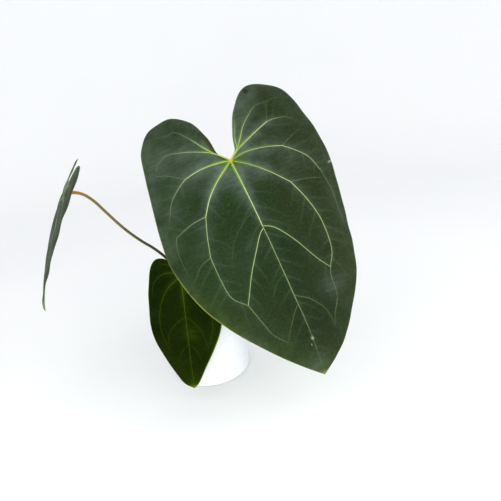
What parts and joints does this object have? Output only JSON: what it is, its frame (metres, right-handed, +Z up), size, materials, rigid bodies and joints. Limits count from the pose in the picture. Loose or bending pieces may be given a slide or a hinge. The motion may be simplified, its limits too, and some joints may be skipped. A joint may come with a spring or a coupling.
{
  "type": "potted anthurium",
  "caption": "Potted anthurium hybrid with large heart-shaped pale-veined leaves on slender petioles, in a plain white cylinder pot.",
  "frame": {"origin": "centre of the pot's flat underside", "axes": "+Z up along the pot's axis, -Y towards the front, where the big leaf faces, +X to the right seen from the front"},
  "size_m": [0.5403, 0.3001, 0.4911],
  "materials": {
    "glazed_pot": "satin",
    "growing_mix": "matte",
    "stem": "matte",
    "petiole": "satin",
    "blade": "satin",
    "dry_sheath": "matte",
    "aerial_root": "matte"
  },
  "bodies": {
    "root": {"pot": "glazed_pot", "growing_mix": "growing_mix", "stem": "stem", "growth_bud": "stem", "big_petiole": "petiole", "big_blade": "blade", "small_petiole": "petiole", "small_blade": "blade", "left_petiole": "petiole", "left_blade": "blade", "sheath_1": "dry_sheath", "sheath_2": "dry_sheath", "root_1": "aerial_root", "root_2": "aerial_root", "root_3": "aerial_root"}
  },
  "joints": []
}
